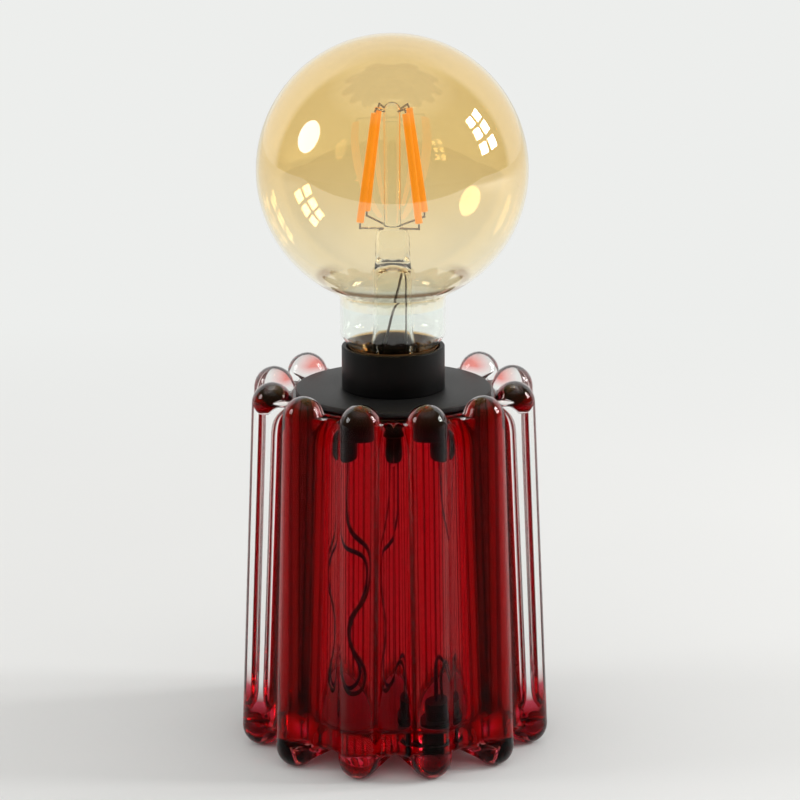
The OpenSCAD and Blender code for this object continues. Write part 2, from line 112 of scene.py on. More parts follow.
class Nodes:
    """Node tree under construction."""

    def __init__(self, tree: bpy.types.NodeTree) -> None:
        """Takes the tree that nodes are added to."""
        self.tree = tree

    def feed(self, socket: bpy.types.NodeSocket, value: object) -> None:
        """Links a socket into another, or sets its plain value.

        Args:
            socket: input that is fed
            value: output socket, number or colour
        """
        if isinstance(value, bpy.types.NodeSocket):
            self.tree.links.new(value, socket)
        else:
            socket.default_value = value

    def node(
        self, kind: str, inputs: dict[str | int, object] | None = None, **settings: object
    ) -> bpy.types.Node:
        """Adds a node.

        Args:
            kind: class of the node without its prefix
            inputs: values or sockets for its inputs, by name or number
            settings: properties of the node

        Returns:
            The new node
        """
        made = self.tree.nodes.new("ShaderNode" + kind)
        for key, value in settings.items():
            setattr(made, key, value)
        for key, value in (inputs or {}).items():
            self.feed(made.inputs[key], value)
        return made

    def spread(
        self,
        value: bpy.types.NodeSocket,
        low: float,
        high: float,
        to_low: float = 0.0,
        to_high: float = 1.0,
    ) -> bpy.types.NodeSocket:
        """Maps a range of a pattern to another range, clamped.

        Args:
            value: pattern
            low: value that becomes to_low
            high: value that becomes to_high
            to_low: start of the new range
            to_high: end of the new range

        Returns:
            The mapped pattern
        """
        inputs = {"Value": value, "From Min": low, "From Max": high, "To Min": to_low, "To Max": to_high}
        return self.node("MapRange", inputs).outputs["Result"]

    def math(self, operation: str, a: object, b: object = 0.0) -> bpy.types.NodeSocket:
        """Adds a Math node.

        Args:
            operation: name of the operation
            a: first number or socket
            b: second number or socket

        Returns:
            The result
        """
        return self.node("Math", {0: a, 1: b}, operation=operation).outputs[0]

    def blend(self, factor: bpy.types.NodeSocket, a: object, b: object) -> bpy.types.NodeSocket:
        """Mixes two colours by a pattern.

        Args:
            factor: pattern, 0 for the first colour
            a: first colour or socket
            b: second colour or socket

        Returns:
            The mixed colour
        """
        made = self.node("Mix", data_type="RGBA")
        for socket, value in zip(MIX_COLOUR_INPUTS, (factor, a, b)):
            self.feed(made.inputs[socket], value)
        return made.outputs[MIX_COLOUR_OUTPUT]


class Graph(Nodes):
    """One node material under construction."""

    def __init__(self, name: str) -> None:
        """Starts a material with a Principled shader.

        Args:
            name: name of the material
        """
        self.material = bpy.data.materials.new(name)
        self.material.use_nodes = True
        super().__init__(self.material.node_tree)
        self.shader = self.tree.nodes["Principled BSDF"]
        self.output = self.tree.nodes["Material Output"]
        self.coords = self.node("TexCoord").outputs["Object"]

    def height(self) -> bpy.types.NodeSocket:
        """Height above the table in metres."""
        return self.node("SeparateXYZ", {"Vector": self.coords}).outputs["Z"]

    def rise(self, value: bpy.types.NodeSocket, reach_mm: Pair) -> bpy.types.NodeSocket:
        """Share of a length, from 0 at the first of two limits in millimetres to 1 at the second."""
        return self.spread(value, reach_mm[0] * MM, reach_mm[1] * MM)

    def noise(self, scale: float, detail: float = 2.0, stretch: Place = EVEN) -> bpy.types.NodeSocket:
        """Adds a noise pattern.

        Args:
            scale: waves per metre
            detail: number of finer octaves
            stretch: factors on the coordinates

        Returns:
            The pattern, from 0 to 1
        """
        place = self.coords
        if stretch != EVEN:
            place = self.node("Mapping", {"Vector": place, "Scale": stretch}).outputs["Vector"]
        inputs = {"Vector": place, "Scale": scale, "Detail": detail}
        return self.node("TexNoise", inputs).outputs["Fac"]

    def bump(self, height: bpy.types.NodeSocket, depth_mm: float) -> None:
        """Gives the shader a relief.

        Args:
            height: pattern of the relief
            depth_mm: depth of the relief
        """
        made = self.node("Bump", {"Height": height, "Distance": depth_mm * MM})
        self.feed(self.shader.inputs["Normal"], made.outputs["Normal"])

    def set(self, **values: object) -> None:
        """Feeds the shader's inputs, with underscores for spaces in their names."""
        for key, value in values.items():
            self.feed(self.shader.inputs[key.replace("_", " ")], value)


def grey(value: float) -> Colour:
    """A neutral colour."""
    return (value, value, value, 1.0)


def shade(colour: Colour, factor: float) -> Colour:
    """A colour made darker or lighter."""
    return (colour[0] * factor, colour[1] * factor, colour[2] * factor, 1.0)


# Finishes


@dataclass(frozen=True)
class Finish:
    """A named surface finish."""

    name: str

    def material(self) -> bpy.types.Material:
        """The finish's material, made once."""
        return bpy.data.materials.get(self.name) or self.make(Graph(self.name)).material

    def make(self, g: Graph) -> Graph:
        """Builds the material's nodes in a graph."""
        return g


@dataclass(frozen=True)
class GlassFinish(Finish):
    """Clear or tinted glass with fine drawn lines and a slightly wavy surface.

    Where it is fused to another piece of glass, light passes the seam without bending.
    """

    tint: Colour = (1.0, 1.0, 1.0, 1.0)
    ior: float = 1.5
    seam_ior: float = 1.002
    fused: bool = False
    mirror: float = 1.0
    low_tint: Colour = (1.0, 1.0, 1.0, 1.0)
    low_mm: Pair = (8.0, 15.0)
    streak: float = 0.0
    streak_scale: float = 900.0
    streak_stretch: Place = (1.0, 1.0, 0.012)
    streak_range: Pair = (0.42, 0.75)
    wave_mm: float = 0.0
    wave_scale: float = 60.0
    wave_stretch: Place = (1.0, 1.0, 0.25)

    def make(self, g: Graph) -> Graph:
        """Builds the glass.

        Args:
            g: graph to build in

        Returns:
            The same graph
        """
        g.set(Transmission_Weight=1.0, IOR=self.ior, Roughness=0.0, Specular_Tint=grey(self.mirror))
        lines = g.spread(g.noise(self.streak_scale, 3.0, self.streak_stretch), *self.streak_range)
        colour = g.blend(lines, self.tint, shade(self.tint, 1.0 - self.streak))
        g.set(Base_Color=g.blend(g.rise(g.height(), self.low_mm), self.low_tint, colour))
        if self.fused:
            seam = g.node("Attribute", attribute_name=SEAM).outputs["Fac"]
            g.set(IOR=g.spread(seam, 0.0, 1.0, self.ior, self.seam_ior))
        if self.wave_mm:
            g.bump(g.noise(self.wave_scale, 1.0, self.wave_stretch), self.wave_mm)
        return g


@dataclass(frozen=True)
class RibFinish(GlassFinish):
    """Clear glass whose domed top is glossier, with a painted reflection of the ruby on the inner side of
    the top next to the rim.
    """

    painted_ruby_reflection: Colour = (1.0, 0.12, 0.1, 1.0)
    ruby_reflection_mm: Pair = (126.5, 129.5)
    ruby_reflection_r_mm: Pair = (44.5, 39.0)
    gloss_mm: Pair = (126.0, 130.0)

    def make(self, g: Graph) -> Graph:
        """Builds the glass with its painted ruby reflection.

        Args:
            g: graph to build in

        Returns:
            The same graph
        """
        super().make(g)
        spot = g.node("SeparateXYZ", {"Vector": g.coords}).outputs
        flat = g.node("CombineXYZ", {"X": spot["X"], "Y": spot["Y"]}).outputs["Vector"]
        r = g.node("VectorMath", {0: flat}, operation="LENGTH").outputs["Value"]
        # Painted reflection: the inner side of each top is tinted ruby, standing in for the ruby core
        # reflected there.
        inside = g.math("MULTIPLY", g.rise(r, self.ruby_reflection_r_mm), g.rise(spot["Z"], self.ruby_reflection_mm))
        plain = g.shader.inputs["Base Color"].links[0].from_socket
        g.set(Base_Color=g.blend(inside, plain, self.painted_ruby_reflection))
        g.set(Coat_Weight=g.rise(spot["Z"], self.gloss_mm))
        return g


@dataclass(frozen=True)
class RubyFinish(GlassFinish):
    """Glass coloured through its body."""

    body_colour: Colour = (0.89, 0.03, 0.35, 1.0)
    body_density: float = 600.0

    def make(self, g: Graph) -> Graph:
        """Builds the glass and its body colour.

        Args:
            g: graph to build in

        Returns:
            The same graph
        """
        super().make(g)
        inside = g.node("VolumeAbsorption", {"Color": self.body_colour, "Density": self.body_density})
        g.feed(g.output.inputs["Volume"], inside.outputs["Volume"])
        return g


@dataclass(frozen=True)
class LustreFinish(Finish):
    """Bulb glass with an amber lustre that ends in a ragged edge above the neck, and a band of painted
    shade low on the globe, dark where its surface turns away from the view.
    """

    amber: Colour = (1.0, 0.84, 0.52, 1.0)
    pale: Colour = (1.0, 0.93, 0.75, 1.0)
    painted_edge_shade: Colour = (0.2, 0.1, 0.05, 1.0)
    clear: Colour = (0.97, 0.985, 0.95, 1.0)
    ior: float = 1.85
    pale_mm: Pair = (176.0, 206.0)
    edge_shade_low_mm: Pair = (166.4, 167.0)
    edge_shade_high_mm: Pair = (169.6, 168.2)
    edge_shade_facing: Pair = (0.4, 0.58)
    edge_mm: Pair = (158.5, 165.5)
    ragged_mm: float = 5.0
    ragged_scale: float = 170.0
    ragged_stretch: Place = (1.0, 1.0, 0.3)
    cloud_scale: float = 45.0
    cloud_shade: float = 0.985

    def make(self, g: Graph) -> Graph:
        """Builds the coated glass.

        Args:
            g: graph to build in

        Returns:
            The same graph
        """
        g.set(Transmission_Weight=1.0, IOR=self.ior, Roughness=0.0)
        height = g.height()
        fringe = g.noise(self.ragged_scale, 2.0, self.ragged_stretch)
        ragged = g.spread(fringe, *NOISE_MIDDLE, 0.0, self.ragged_mm * MM)
        coat = g.rise(g.math("ADD", height, ragged), self.edge_mm)
        cloud = g.spread(g.noise(self.cloud_scale, 3.0), *NOISE_MIDDLE)
        deep = g.blend(cloud, self.amber, shade(self.amber, self.cloud_shade))
        amber = g.blend(g.rise(height, self.pale_mm), self.pale, deep)
        # Painted shade: a dark band low on the globe, darkest where its surface turns away from the view.
        ring = g.math("MULTIPLY", g.rise(height, self.edge_shade_low_mm), g.rise(height, self.edge_shade_high_mm))
        facing = g.node("LayerWeight", {"Blend": 0.5}).outputs["Facing"]
        edge_shade_mask = g.math("MULTIPLY", ring, g.spread(facing, *self.edge_shade_facing))
        g.set(Base_Color=g.blend(coat, self.clear, g.blend(edge_shade_mask, amber, self.painted_edge_shade)))
        return g


@dataclass(frozen=True)
class PlasticFinish(Finish):
    """Moulded plastic, rubber or paint with a fine grain."""

    colour: Colour = (0.02, 0.02, 0.02, 1.0)
    roughness: float = 0.45
    vary: float = 0.25
    grain_scale: float = 2500.0
    grain_mm: float = 0.02
    cloud_scale: float = 70.0
    roughness_vary: float = 0.06
    gloss: float = 0.5
    painted_glow: float = 0.0

    def make(self, g: Graph) -> Graph:
        """Builds the plastic.

        Args:
            g: graph to build in

        Returns:
            The same graph
        """
        cloud = g.spread(g.noise(self.cloud_scale, 4.0), *NOISE_MIDDLE)
        grain = g.noise(self.grain_scale)
        rough = (self.roughness - self.roughness_vary, self.roughness + self.roughness_vary)
        dark, light = shade(self.colour, 1.0 - self.vary), shade(self.colour, 1.0 + self.vary)
        # Any glow set here is painted light: the piece shines though it is no lamp.
        g.set(
            Base_Color=g.blend(cloud, dark, light),
            Roughness=g.spread(grain, *NOISE_MIDDLE, *rough),
            Specular_IOR_Level=self.gloss,
            Emission_Color=self.colour,
            Emission_Strength=self.painted_glow,
        )
        g.bump(grain, self.grain_mm)
        return g


@dataclass(frozen=True)
class MetalFinish(Finish):
    """Plain or plated metal with drawing marks and a little tarnish."""

    colour: Colour = (0.6, 0.6, 0.6, 1.0)
    tarnish: Colour = (0.35, 0.3, 0.25, 1.0)
    roughness: float = 0.3
    stretch: Place = (1.0, 1.0, 8.0)
    mark_mm: float = 0.01
    mark_scale: float = 900.0
    spot_scale: float = 260.0
    spot_range: Pair = (0.5, 0.8)
    roughness_vary: Pair = (-0.08, 0.1)

    def make(self, g: Graph) -> Graph:
        """Builds the metal.

        Args:
            g: graph to build in

        Returns:
            The same graph
        """
        marks = g.noise(self.mark_scale, 3.0, self.stretch)
        spots = g.spread(g.noise(self.spot_scale, 4.0), *self.spot_range)
        rough = [self.roughness + vary for vary in self.roughness_vary]
        g.set(
            Metallic=1.0,
            Base_Color=g.blend(spots, self.colour, self.tarnish),
            Roughness=g.spread(marks, *NOISE_MIDDLE, *rough),
        )
        g.bump(marks, self.mark_mm)
        return g


@dataclass(frozen=True)
class PaperFinish(Finish):
    """Pale matte paper that glows a little lighter far from the lamp as a backdrop, for the camera and
    through glass; seen in reflections, it shows a dark room colour beyond its front edge.
    """

    near: Colour = (0.80, 0.805, 0.795, 1.0)
    far: Colour = (0.845, 0.855, 0.84, 1.0)
    rise_m: Pair = (0.30, 0.62)
    room: Colour = (0.22, 0.17, 0.11, 1.0)
    edge_m: Pair = (-0.69, -0.71)
    cloud_scale: float = 5.0
    cloud_shade: float = 0.985
    grain_scale: float = 800.0
    grain_mm: float = 0.03

    def make(self, g: Graph) -> Graph:
        """Builds the paper.

        Args:
            g: graph to build in

        Returns:
            The same graph
        """
        rays = g.node("LightPath").outputs
        depth = g.node("SeparateXYZ", {"Vector": g.coords}).outputs["Y"]
        seen = g.math("MAXIMUM", rays["Is Camera Ray"], rays["Is Transmission Ray"])
        back = g.math("MULTIPLY", g.spread(depth, *self.rise_m), seen)
        edge = g.math("MULTIPLY", g.spread(depth, *self.edge_m), rays["Is Glossy Ray"])
        cloud = g.spread(g.noise(self.cloud_scale), *NOISE_MIDDLE)
        paper = g.blend(cloud, self.near, shade(self.near, self.cloud_shade))
        shown = g.blend(edge, g.blend(back, paper, BLACK), self.room)
        g.set(
            Base_Color=shown,
            Roughness=0.9,
            Specular_IOR_Level=0.0,
            Emission_Color=self.far,
            Emission_Strength=back,
        )
        g.bump(g.noise(self.grain_scale, 3.0), self.grain_mm)
        return g


RUBY = RubyFinish(
    "ruby_body",
    tint=(0.96, 0.7, 0.7, 1.0),
    low_tint=(0.96, 0.7, 0.7, 1.0),
    fused=True,
    mirror=0.12,
    streak=0.1,
    streak_scale=700.0,
    wave_mm=0.05,
)
RUBY_BASE = replace(RUBY, name="ruby_base", body_density=80.0)
# The red low on the ribs' feet is painted red light, standing in for the red glow under the beaker seen
# through them.
CLEAR = RibFinish(
    "clear_rib",
    tint=(0.985, 0.99, 0.985, 1.0),
    low_tint=(0.5, 0.012, 0.03, 1.0),
    fused=True,
    mirror=0.12,
    streak=0.03,
    wave_mm=0.04,
)
LUSTRE = LustreFinish("amber_lustre")
NECK = GlassFinish(
    "clear_neck",
    tint=(0.96, 0.985, 0.955, 1.0),
    low_tint=(0.6, 0.36, 0.13, 1.0),
    low_mm=(144.9, 145.4),
    streak=0.03,
)
# The dark brown low on the stem is painted shade on its foot, low in the neck by the cap.
STEM = GlassFinish(
    "clear_stem",
    tint=(0.97, 0.985, 0.97, 1.0),
    low_tint=(0.08, 0.045, 0.015, 1.0),
    low_mm=(144.5, 147.5),
    mirror=0.3,
    streak=0.04,
)
POWDER = PlasticFinish("black_powder_coat", (0.0075, 0.0075, 0.0075, 1.0), 0.5, 0.2, 3000.0, 0.03)
MOULDED = PlasticFinish("black_moulding", (0.003, 0.003, 0.003, 1.0), 0.42, 0.25, 2200.0, 0.015, gloss=0.15)
RUBBER = PlasticFinish("seal_rubber_skin", (0.02, 0.02, 0.02, 1.0), 0.7, 0.3, 1500.0, 0.03)
BROWN = PlasticFinish("brown_sleeve", (0.055, 0.022, 0.012, 1.0), 0.38, 0.3, 1800.0, 0.02)
BLUE = PlasticFinish("blue_sleeve", (0.012, 0.022, 0.085, 1.0), 0.38, 0.3, 1800.0, 0.02)
# The filaments get a painted glow, though no light comes from the bulb.
PHOSPHOR = PlasticFinish("phosphor_coat", (1.0, 0.36, 0.005, 1.0), 0.45, 0.12, 1400.0, 0.03, painted_glow=0.7)
BLACK_GLASS = PlasticFinish("black_glass_skin", (0.01, 0.01, 0.012, 1.0), 0.12, 0.3, 900.0, 0.02)
CEMENT = PlasticFinish("basing_cement", (0.2, 0.1, 0.035, 1.0), 0.75, 0.45, 900.0, 0.12)
BOARD = PlasticFinish("board_mask", (0.02, 0.12, 0.05, 1.0), 0.3, 0.3, 1200.0, 0.02)
SLEEVE = PlasticFinish("sleeve_film", (0.03, 0.03, 0.035, 1.0), 0.3, 0.3, 1500.0, 0.01)
NICKEL = MetalFinish("nickel_plate", (0.62, 0.6, 0.56, 1.0), (0.4, 0.37, 0.33, 1.0), 0.28)
BRASS = MetalFinish("stamped_brass", (0.78, 0.55, 0.22, 1.0), (0.45, 0.27, 0.1, 1.0), 0.3)
SOLDER = MetalFinish("solder", (0.62, 0.62, 0.62, 1.0), (0.4, 0.4, 0.4, 1.0), 0.4, EVEN, 0.05)
WIRE = MetalFinish("drawn_wire", (0.36, 0.34, 0.34, 1.0), (0.2, 0.16, 0.14, 1.0), 0.35, (1.0, 1.0, 0.2))
CAP = MetalFinish("cap_plate", (0.72, 0.7, 0.65, 1.0), (0.5, 0.46, 0.4, 1.0), 0.26, (1.0, 1.0, 14.0))
PAPER = PaperFinish("studio_paper")


# Mesh tools, all in millimetres


def arc(middle: Pair, radius: float, start: float, end: float, count: int) -> Outline:
    """Points on an arc of an outline.

    Args:
        middle: radius and height of the arc's middle
        radius: radius of the arc
        start: first angle in degrees
        end: last angle in degrees
        count: number of steps

    Returns:
        The points, both ends included
    """
    angles = [math.radians(start + (end - start) * k / count) for k in range(count + 1)]
    return [(middle[0] + radius * math.cos(a), middle[1] + radius * math.sin(a)) for a in angles]


def between(start: Pair, end: Pair, shares: list[float]) -> Outline:
    """Points at shares of a straight stretch of an outline."""
    return [(start[0] + (end[0] - start[0]) * t, start[1] + (end[1] - start[1]) * t) for t in shares]


def line(start: Pair, end: Pair, count: int) -> Outline:
    """Points in even steps inside a straight stretch of an outline, without its ends."""
    return between(start, end, [k / count for k in range(1, count)])


def turned(outline: Outline, columns: int, closed: bool = False, sweep: float = TURN) -> bmesh.types.BMesh:
    """Spins an outline about the Z axis.

    Args:
        outline: radius and height of each point
        columns: number of steps around
        closed: whether the last point joins the first
        sweep: angle of the spin

    Returns:
        The spun mesh
    """
    bm = bmesh.new()
    points = [bm.verts.new((r, 0.0, z)) for r, z in outline]
    edges = [bm.edges.new(pair) for pair in zip(points, points[1:])]
    if closed:
        edges.append(bm.edges.new((points[-1], points[0])))
    bmesh.ops.spin(
        bm,
        geom=points + edges,
        axis=(0, 0, 1),
        cent=(0, 0, 0),
        angle=sweep,
        steps=columns,
        use_merge=sweep == TURN,
    )
    tidy(bm)
    return bm


def tidy(bm: bmesh.types.BMesh) -> None:
    """Merges doubles and turns the faces outwards."""
    bmesh.ops.remove_doubles(bm, verts=bm.verts, dist=MERGE)
    bmesh.ops.recalc_face_normals(bm, faces=bm.faces)


def soften(bm: bmesh.types.BMesh, width: float, segments: int = 3, angle: float = 40.0) -> None:
    """Rounds a mesh's sharp edges.

    Args:
        bm: mesh to change
        width: width of the rounding
        segments: number of steps across it
        angle: least angle in degrees of an edge that is rounded
    """
    limit = math.radians(angle)
    sharp = [e for e in bm.edges if len(e.link_faces) == 2 and e.calc_face_angle(0.0) > limit]
    bmesh.ops.bevel(
        bm,
        geom=sharp,
        offset=width,
        offset_type="OFFSET",
        segments=segments,
        profile=0.5,
        affect="EDGES",
        material=-1,
    )


def turned_part(outline: Outline, columns: int, edge: float) -> bmesh.types.BMesh:
    """Spins a closed outline and rounds its edges.

    Args:
        outline: radius and height of each point
        columns: number of steps around
        edge: width of the rounding

    Returns:
        The mesh
    """
    bm = turned(outline, columns, True)
    soften(bm, edge)
    return bm


def edges_at(verts: list[bmesh.types.BMVert]) -> list[bmesh.types.BMEdge]:
    """Edges at some points, each once, in the points' order."""
    return list(dict.fromkeys(e for v in verts for e in v.link_edges))


def frames_along(points: list[Vector]) -> list[Matrix]:
    """Frames that follow a path without twisting.

    Args:
        points: points of the path

    Returns:
        One matrix for each point, with its Z axis along the path
    """
    last = len(points) - 1
    ways = [(points[min(k + 1, last)] - points[max(k - 1, 0)]).normalized() for k in range(last + 1)]
    turn = Vector((0, 0, 1)).rotation_difference(ways[0])
    made = []
    for k, way in enumerate(ways):
        if k:
            turn = ways[k - 1].rotation_difference(way) @ turn
        made.append(Matrix.Translation(points[k]) @ turn.to_matrix().to_4x4())
    return made


def tube(points: list[Vector], radius: float, sides: int = 12) -> bmesh.types.BMesh:
    """Extrudes a circle along a path.

    Args:
        points: points of the path
        radius: radius of the tube
        sides: number of sides

    Returns:
        The closed tube
    """
    bm = bmesh.new()
    frames = frames_along(points)
    ring = bmesh.ops.create_circle(bm, segments=sides, radius=radius, matrix=frames[0])["verts"]
    edges = edges_at(ring)
    for before, after in zip(frames, frames[1:]):
        made = bmesh.ops.extrude_edge_only(bm, edges=edges)["geom"]
        edges = [g for g in made if isinstance(g, bmesh.types.BMEdge)]
        verts = [g for g in made if isinstance(g, bmesh.types.BMVert)]
        bmesh.ops.transform(bm, matrix=after @ before.inverted(), verts=verts)
    bmesh.ops.holes_fill(bm, edges=[e for e in bm.edges if e.is_boundary])
    tidy(bm)
    return bm


def spline(route: list[Place], steps: int) -> list[Vector]:
    """Smooth curve that starts and ends on a route and is drawn towards the points between.

    Args:
        route: points of the route
        steps: points for each stretch

    Returns:
        Points along the curve
    """
    p = [Vector(x) for x in route]
    p = [2 * p[0] - p[1], *p, 2 * p[-1] - p[-2]]
    made = []
    for i in range(1, len(p) - 2):
        for k in range(steps):
            t = k / steps
            weights = ((1 - t) ** 3, 4 - 6 * t**2 + 3 * t**3, 1 + 3 * t + 3 * t**2 - 3 * t**3, t**3)
            made.append(sum((w * q for w, q in zip(weights, p[i - 1 : i + 3])), Vector()) / 6)
    made.append(Vector(route[-1]))
    return made


def joined(parts: list[bmesh.types.BMesh]) -> bmesh.types.BMesh:
    """Puts several meshes into one.

    Args:
        parts: meshes, which are used up

    Returns:
        The joined mesh
    """
    whole = bmesh.new()
    for bm in parts:
        mesh = bpy.data.meshes.new("part")
        bm.to_mesh(mesh)
        bm.free()
        whole.from_mesh(mesh)
        bpy.data.meshes.remove(mesh)
    return whole


def place(
    name: str,
    bm: bmesh.types.BMesh,
    finishes: list[Finish],
    slot: Slot,
    nodes: list[str],
    body: Body | None = None,
    smooth: float = 35.0,
) -> bpy.types.Object:
    """Makes a piece from a mesh in millimetres, with its finishes, the nodes it stands for and its body.

    Args:
        name: name of the piece
        bm: mesh, which is used up
        finishes: finishes, in the order of the faces' material numbers
        slot: material slot of the record, not used
        nodes: nodes that it replaces
        body: body that it rides on, or none
        smooth: greatest angle in degrees that is shaded smoothly

    Returns:
        The piece
    """
    bmesh.ops.scale(bm, vec=(MM, MM, MM), verts=bm.verts)
    mesh = bpy.data.meshes.new(name)
    bm.to_mesh(mesh)
    bm.free()
    mesh.shade_smooth()
    mesh.set_sharp_from_angle(angle=math.radians(smooth))
    for finish in finishes:
        mesh.materials.append(finish.material())
    obj = bpy.data.objects.new(name, mesh)
    bpy.context.scene.collection.objects.link(obj)
    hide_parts(*nodes)
    if body is not None:
        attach(obj, body.value)
    log.info("%s: %d faces, stands for %s", name, len(mesh.polygons), ", ".join(nodes))
    return obj


def dress(finish: Finish, *nodes: str) -> None:
    """Gives nodes that stay as they are a finish.

    Args:
        finish: the finish
        nodes: names of the nodes
    """
    for name in nodes:
        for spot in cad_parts[name].material_slots:
            spot.material = finish.material()
        log.info("%s: dressed in %s", name, finish.name)


def fine(obj: bpy.types.Object) -> None:
    """Adds a subdivision surface to a piece.

    Args:
        obj: the piece
    """
    smooth = obj.modifiers.new("smooth", "SUBSURF")
    smooth.levels = SUBDIVISIONS
    smooth.render_levels = SUBDIVISIONS


# Sub-assemblies


@dataclass
class Vessel:
    """Ruby beaker with its clear ribs and the bush in its floor."""

    rim_z: float = 126.3
    rim_r: float = 37.1
    flare: float = 5.2
    base_z: float = 6.0
    wall_t: float = 6.3
    floor_t: float = 5.6
    lip_r: float = 1.6
    heel_r: float = 3.0
    cove_r: float = 4.0
    floor_gap: float = 0.02
    columns: int = 192
    rows: int = 20
    cove_steps: int = 8
    rib_count: int = 12
    rib_r: float = 7.2
    rib_least_r: float = 0.2
    rib_rise: float = 7.0
    rib_bite: float = 0.3
    foot_flat: float = 0.35
    rib_columns: int = 28
    rib_shrink: float = 0.99217
    seam_angle: float = 14.98
    web_t: float = 5.72
    web_lean: float = 0.005
    web_end_t: float = 0.4
    web_round: Pair = (3.0, 6.0)
    seam_sink: float = 0.05
    seam_columns: int = 18
    seam_heel_rows: int = 3
    hollow_steps: tuple[float, ...] = (0.2, 0.4, 0.6, 0.8, 0.97)
    seam_low_latitude: float = 40.0
    seam_high_latitude: float = 10.0
    heel_steps: int = 9
    heel_seam_steps: int = 6
    lip_steps: int = 6
    lip_seam_steps: int = 2
    bush: Place = (12.0, -20.0, 0.0)
    bush_hole_r: float = 5.0
    bush_sides: int = 48

    @property
    def slope(self) -> float:
        """Growth of the radius for each millimetre down."""
        return self.flare / (self.rim_z - self.base_z)

    @property
    def lean(self) -> float:
        """Angle of the wall in degrees."""
        return math.degrees(math.atan(self.slope))

    @property
    def seam_low(self) -> float:
        """Angle on the heel in degrees where the seams start."""
        return self.lean - (90 + self.lean) * self.heel_seam_steps / self.heel_steps

    @property
    def seam_high(self) -> float:
        """Angle on the lip in degrees where the seams end."""
        return self.lean + (90 - self.lean) * self.lip_seam_steps / self.lip_steps

    @property
    def seam_low_z(self) -> float:
        """Height where the seams start."""
        return self.heel(self.seam_low, 1)[0][1]

    @property
    def seam_high_z(self) -> float:
        """Height where the seams end."""
        return self.lip(self.seam_high, 1)[-1][1]

    @property
    def foot_z(self) -> float:
        """Height of the middle of a rib's foot."""
        return self.rib_r - self.foot_flat

    @property
    def dome_z(self) -> float:
        """Height of the middle of a rib's dome."""
        return self.rim_z + self.rib_rise - self.rib_r

    def outer_r(self, z: float) -> float:
        """Outer radius of the wall at a height."""
        return self.rim_r + (self.rim_z - z) * self.slope

    def axis_r(self, z: float) -> float:
        """Distance of a rib's axis from the vessel's at a height."""
        return self.outer_r(z) + (self.rib_r - self.rib_bite) / math.cos(math.radians(self.lean))

    def web(self, z: float) -> float:
        """Thickness of the clear glass over the wall between two ribs, rounded off at both ends.

        Args:
            z: height

        Returns:
            The thickness
        """
        low, high = (z - self.seam_low_z) / self.web_round[0], (self.seam_high_z - z) / self.web_round[1]
        end = max(0.0, 1 - min(low, high))
        thick = self.web_t + self.web_lean * z - self.web_end_t
        return self.web_end_t + thick * math.sqrt(max(0.0, 1 - end**2))

    def hollow_point(self, z: float, share: float) -> Pair:
        """Point on the curve from the side of a rib on the X axis down into the hollow beside it.

        Args:
            z: height
            share: share of the curve's length, counted from the rib

        Returns:
            The point's X and Y
        """
        turn = math.radians(self.seam_angle)
        axis = self.axis_r(z)
        along, across = axis * math.cos(turn), axis * math.sin(turn)
        over = max(0.0, self.foot_z - z, z - self.dome_z)
        rib = math.sqrt(max(self.rib_least_r**2, self.rib_r**2 - over**2))
        drop = self.outer_r(z) - self.seam_sink + self.web(z) - along
        r = (drop**2 + across**2 - rib**2) / (2 * (rib - drop))
        middle = along + drop + r
        reach = math.atan2(across, drop + r)
        start = math.pi * self.seam_columns / self.rib_columns
        touch = math.pi - math.atan2(middle * math.sin(turn), middle * math.cos(turn) - axis)
        on_rib = rib * max(0.0, start - touch)
        gone = share * (on_rib + r * reach)
        if gone < on_rib:
            angle = start - gone / rib
            return axis - rib * math.cos(angle), rib * math.sin(angle)
        angle = reach - (gone - on_rib) / r
        out = middle - r * math.cos(angle)
        side = r * math.sin(angle)
        return (
            out * math.cos(turn) + side * math.sin(turn),
            out * math.sin(turn) - side * math.cos(turn),
        )

    def rows_along(self, start: Pair, end: Pair) -> Outline:
        """Points inside a straight stretch, closer together near its ends, without the ends."""
        shares = [(1 - math.cos(math.pi * k / self.rows)) / 2 for k in range(1, self.rows)]
        return between(start, end, shares)

    def heel(self, start: float, count: int) -> Outline:
        """Arc of the heel from an angle up to the wall.

        Args:
            start: angle in degrees
            count: number of steps

        Returns:
            The arc's points
        """
        z = self.base_z + self.heel_r
        r = self.outer_r(z) - self.heel_r / math.cos(math.radians(self.lean))
        return arc((r, z), self.heel_r, start, self.lean, count)

    def lip(self, end: float, count: int) -> Outline:
        """Arc of the outer lip from the wall up to an angle.

        Args:
            end: angle in degrees
            count: number of steps

        Returns:
            The arc's points
        """
        z = self.rim_z - self.lip_r
        r = self.outer_r(z) - self.lip_r / math.cos(math.radians(self.lean))
        return arc((r, z), self.lip_r, self.lean, end, count)

